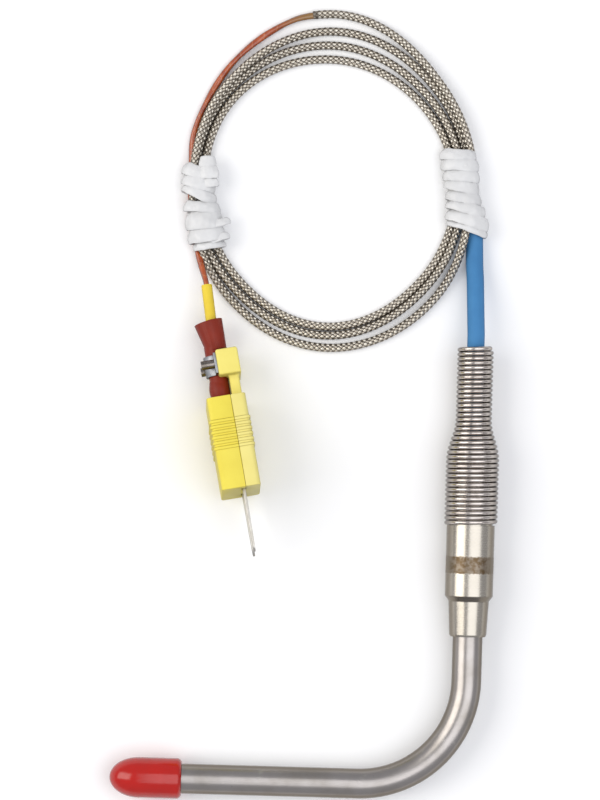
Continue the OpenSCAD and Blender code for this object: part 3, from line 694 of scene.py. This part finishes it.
def make_spring():
    rise = SPRING_WIDE + SPRING_TAPER + SPRING_NECK - WIRE
    per_turn = 28
    count = round(TURNS * per_turn)
    line = bpy.data.curves.new("spring", "CURVE")
    line.dimensions = "3D"
    spline = line.splines.new("POLY")
    spline.points.add(count)
    for i in range(count + 1):
        a = FIRST_ANGLE + 2 * math.pi * i / per_turn
        s = WIRE / 2 + rise * i / count
        r = coil_radius(s)
        spot = Vector((mouth.x, spring_low.y, (ferrule_low.z + ferrule_high.z) / 2))
        spot += Vector((r * math.cos(a), s, -r * math.sin(a))) * MM
        spline.points[i].co = (*spot, 1)
    line.bevel_depth = WIRE / 2 * MM
    line.bevel_resolution = 3
    line.use_fill_caps = True
    made = bpy.data.objects.new("spring", line)
    bpy.context.scene.collection.objects.link(made)
    pick(made)
    bpy.ops.object.convert(target="MESH")
    bpy.ops.object.shade_smooth_by_angle(angle=math.radians(50))
    return bpy.context.object


spring = wear(make_spring(), spring_steel, "probe")
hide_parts("strain_spring")

# %% [markdown]
# ## The blue and yellow sleeves
# Both are short lengths of tubing slipped over the wires. The blue one bends from the
# spring down to the table. Each gets a real mouth: the tube's end face is inset and
# pushed in, so the lead comes out of a hole.

# %% Sleeves with an open mouth
BLUE_OD, BLUE_BORE = 3.7, 2.2
YELLOW_OD, YELLOW_BORE = 2.3, 1.75
MOUTH_DEPTH = 1.2


def make_sleeve(name, points, outer, bore, spacing, sides=28):
    path, _ = rounded(points, spacing)
    tube = sweep(name, path, outer / 2 * MM, sides)
    pick(tube)
    bpy.ops.object.mode_set(mode="EDIT")
    bpy.ops.mesh.select_mode(type="FACE")
    bpy.ops.mesh.select_all(action="DESELECT")
    bpy.ops.object.mode_set(mode="OBJECT")
    for face in tube.data.polygons:
        face.select = len(face.vertices) > 4
    bpy.ops.object.mode_set(mode="EDIT")
    bpy.ops.mesh.inset(thickness=(outer - bore) / 2 * MM, use_individual=True)
    bpy.ops.mesh.extrude_faces_move(MESH_OT_extrude_faces_indiv={},
                                    TRANSFORM_OT_shrink_fatten={"value": -MOUTH_DEPTH * MM})
    bpy.ops.object.mode_set(mode="OBJECT")
    use_modifier(tube, "BEVEL", width=0.12 * MM, segments=2, limit_method="ANGLE",
                 angle_limit=math.radians(50))
    pick(tube)
    bpy.ops.object.shade_smooth_by_angle(angle=math.radians(40))
    return tube


blue_run = [from_mouth(0, -22, 5.7), from_mouth(0, -11, 5.7)] + first_run[:-1]
blue = make_sleeve("blue_sleeve", blue_run, BLUE_OD, BLUE_BORE, 1.2 * MM)
wear(blue, sleeve_blue, "probe")
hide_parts("lead_sleeve")
yellow_run = [sleeve_from, sleeve_from.lerp(sleeve_to, 0.5), sleeve_to]
yellow = make_sleeve("yellow_sleeve_piece", yellow_run, YELLOW_OD, YELLOW_BORE, 0.6 * MM)
wear(yellow, sleeve_yellow, "probe")
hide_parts("yellow_sleeve")

# %% [markdown]
# ## The plug and its cable clamp
# The two shells, the clamp block and the bent saddle get rounded edges.

# %% Rounded mouldings
plug_base = dress("plug_base", plug_yellow, "probe", 0.2, angle=50, clamp=False)
# The cover wears the paler yellow of the painted sheen
plug_cover = dress("plug_cover", plug_pale, "probe", 0.2, angle=50, clamp=False)
clamp_bracket = dress("clamp_bracket", clamp_yellow, "probe", 0.45, segments=3, angle=50,
                      clamp=False)
clamp_saddle = dress("clamp_saddle", sheet_zinc, "probe", 0.08)
grommet = dress("lead_grommet", grommet_brown, "probe", 0.3, angle=50)

# %% [markdown]
# ## The blades
# A blade is stamped flat and thins a little towards its tip, so that it finds its slot.
# Each point is moved towards the blade's middle plane, the more the nearer to the tip.

# %% Blades that thin towards the tip
# The plug's heading, pitch and roll as in the CAD, in degrees
PLUG_TURN = (-78.5, 9.0, 3.0)
TIP_SHARE = 0.55
THINNING_RUN = 12
heading, pitch, roll = (math.radians(a) for a in PLUG_TURN)
plug_frame = Matrix.Rotation(heading, 3, "Z") @ Matrix.Rotation(-pitch, 3, "Y")
plug_frame = plug_frame @ Matrix.Rotation(-roll, 3, "X")
length_way, thick_way = plug_frame.col[0], plug_frame.col[1]


def make_blade(node):
    blade = dress(node, nickel, "probe", 0.08)
    points = [v.co.copy() for v in blade.data.vertices]
    reach = [p.dot(length_way) for p in points]
    across = [p.dot(thick_way) for p in points]
    level = (min(across) + max(across)) / 2
    tip, run = max(reach), THINNING_RUN * MM
    for vert, along, side in zip(blade.data.vertices, reach, across):
        share = min(max((along - tip + run) / run, 0), 1)
        vert.co += thick_way * (level - side) * share * (1 - TIP_SHARE)
    print(node, "thins from", tip - run, "m along the plug")
    return blade


blades = [make_blade("blade_positive"), make_blade("blade_negative")]

# %% [markdown]
# ## The ribbon ties
# Each tie is a flat plastic ribbon wound round the bundle again and again. One wrap is a
# loop of ribbon: a circle, squashed to the bundle, extruded to the ribbon's width, tilted,
# and given a wall. Slightly different tilts and places make the overlaps and creases.


# %% One wrap of ribbon
# How much wider a wrap is at one edge than at the other, so that each laps the next
SHINGLE = 0.2
RIBBON_WALL = 0.35


def make_wrap(name, at, across, high, width, heading, tilt):
    """A band round the bundle. heading is the bundle's direction, tilt turns the band on it."""
    nothing_selected()
    bpy.ops.mesh.primitive_circle_add(vertices=20, radius=1 * MM, location=(0, 0, 0))
    band = bpy.context.object
    band.name = name
    bpy.ops.object.mode_set(mode="EDIT")
    bpy.ops.mesh.select_all(action="SELECT")
    bpy.ops.transform.resize(value=(across, high, 1))
    bpy.ops.transform.translate(value=(0, 0, -width / 2 * MM))
    for _ in range(3):
        bpy.ops.mesh.extrude_edges_move(TRANSFORM_OT_translate={"value": (0, 0, width / 3 * MM)})
    bpy.ops.object.mode_set(mode="OBJECT")
    for vert in band.data.vertices:
        x, y, z = vert.co / MM
        bulge = 0.95 + 0.13 * math.cos(math.pi * z / width) + SHINGLE * z / width
        squash = 1 if y > 0 else 0.85
        vert.co = Vector((x * bulge, y * bulge * squash, z)) * MM
    turn = Matrix.Rotation(math.radians(heading + tilt), 4, "Z")
    stand = Matrix.Rotation(math.radians(90), 4, "X")
    band.data.transform(Matrix.Translation(from_mouth(*at)) @ turn @ stand)
    use_modifier(band, "SOLIDIFY", thickness=RIBBON_WALL * MM, offset=-1)
    return band


def join_wraps(name, wraps, material, node):
    """Joins the wraps, rounds them, and ripples them as soft film does."""
    nothing_selected()
    for wrap in wraps:
        wrap.select_set(True)
    bpy.context.view_layer.objects.active = wraps[0]
    bpy.ops.object.join()
    tie = bpy.context.object
    tie.name = name
    use_modifier(tie, "SUBSURF", levels=2, render_levels=2)
    ripple = bpy.data.textures.new(name + "_ripple", "CLOUDS")
    ripple.noise_scale = 2.6 * MM
    ripple.noise_depth = 2
    use_modifier(tie, "DISPLACE", texture=ripple, strength=0.7 * MM, mid_level=0.5, texture_coords="LOCAL")
    for vert in tie.data.vertices:
        vert.co.z = max(vert.co.z, 0.03 * MM)
    pick(tie)
    bpy.ops.object.shade_smooth()
    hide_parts(node)
    return wear(tie, material, "probe")


# %% The right tie
# (x, y, z), half width, half height, ribbon width, heading, tilt
RIGHT_WRAPS = [
    ((-4.8, 40.7, 2.4), 3.7, 2.4, 2.6, 12, -14), ((-4.4, 38.6, 2.4), 3.9, 2.6, 3.0, 10, -12),
    ((-4.0, 36.2, 2.5), 3.9, 2.7, 2.8, 9, -12), ((-3.8, 34.0, 2.5), 3.8, 2.8, 3.0, 8, -22),
    ((-3.4, 31.6, 2.5), 3.8, 2.9, 2.8, 6, -17), ((-2.8, 29.4, 2.6), 4.3, 3.0, 2.8, 4, -20),
    ((-2.3, 27.0, 2.6), 4.6, 3.1, 3.2, 2, -19), ((-2.3, 25.2, 2.6), 4.3, 3.0, 2.0, 2, -20),
]
wraps = [make_wrap(f"right_wrap_{i}", *w) for i, w in enumerate(RIGHT_WRAPS)]
tie_right = join_wraps("ribbon_right", wraps, ribbon_white, "tie_right")

# %% The left tie, whose ribbon ends in a folded tail and two loose edges
LEFT_WRAPS = [
    ((-60.0, 35.3, 2.3), 3.4, 2.4, 3.0, 4, -24), ((-59.8, 33.1, 2.4), 3.6, 2.6, 3.2, 3, -24),
    ((-59.6, 30.8, 2.5), 3.8, 2.8, 2.6, 2, -27), ((-59.1, 28.0, 2.4), 3.8, 2.7, 2.6, 4, -7),
    ((-58.5, 25.3, 2.5), 3.8, 2.8, 4.2, 8, -2), ((-57.9, 22.2, 2.5), 3.9, 2.8, 3.4, 12, -2),
    ((-57.3, 20.0, 2.3), 3.4, 2.5, 2.0, 14, -4),
]
LEFT_ENDS = [
    ((-58.1, 37.6, 4.2), 1.8, 0.7, 2.6, 3, -3), ((-57.7, 35.4, 4.3), 2.0, 0.8, 2.9, 5, 0),
    ((-57.4, 33.2, 4.3), 1.7, 0.7, 2.0, 8, 2), ((-55.9, 24.6, 3.6), 2.9, 1.2, 1.8, 10, 6),
    ((-55.8, 21.4, 3.6), 2.9, 1.2, 1.8, 12, 6),
]
wraps = [make_wrap(f"left_wrap_{i}", *w) for i, w in enumerate(LEFT_WRAPS + LEFT_ENDS)]
tie_left = join_wraps("ribbon_left", wraps, ribbon_white, "tie_left")

# %% [markdown]
# ## The pieces on the film-wrapped pair
# Both cords show from end to end, so their drawn length is their real length.

# %% Cords
on_the_pair = [yellow, grommet, plug_base, plug_cover, clamp_bracket, clamp_saddle, *blades]
on_the_pair = [piece.name for piece in on_the_pair] + [
    "clamp_screws", "cover_screw", "terminal_screws", "conductor_positive", "conductor_negative"]
print("braid carries 3 pieces, the pair", len(on_the_pair))

# %% [markdown]
# ## Floor and light
# The table is plain and nearly white. A wide cool soft box hangs level on the right. A
# smaller warm one stands lower on the left, tilted at the probe, with a dark gap between
# them, so each round bar shows two bright stripes. A dim sky softens the shadows.

# %% Floor
bpy.ops.mesh.primitive_plane_add(size=6, location=(0, 0, 0))
floor = bpy.context.object
floor.name = "floor"
floor_finish, box = start_finish("floor_white")
close_finish(box, (0.92, 0.92, 0.92), 0.9 + grain(box, place(box), 200, 1) * 0.02)
floor.data.materials.append(floor_finish)


# %% Lights
def soft_box(name, location, size, power, aim, colour):
    light = bpy.data.lights.new(name, "AREA")
    light.shape = "RECTANGLE"
    light.size, light.size_y = size
    light.energy = power
    light.color = colour
    lamp = bpy.data.objects.new(name, light)
    bpy.context.scene.collection.objects.link(lamp)
    lamp.location = location
    lamp.rotation_euler = (Vector(aim) - Vector(location)).to_track_quat("-Z", "Y").to_euler()
    return lamp


soft_box("right_box", (0.72, -0.05, 1.3), (1.64, 1.3), 12.5, (0.72, -0.05, 0), (0.97, 0.98, 1))
soft_box("left_box", (-1.05, 0.2, 0.95), (0.9, 1.2), 11.0, (0, 0.03, 0), (1, 0.97, 0.91))
sky = bpy.data.worlds.new("sky")
bpy.context.scene.world = sky
sky.use_nodes = True
sky.node_tree.nodes["Background"].inputs["Color"].default_value = (0.93, 0.94, 1, 1)
sky.node_tree.nodes["Background"].inputs["Strength"].default_value = 0.55
bpy.context.scene.view_settings.view_transform = "Standard"
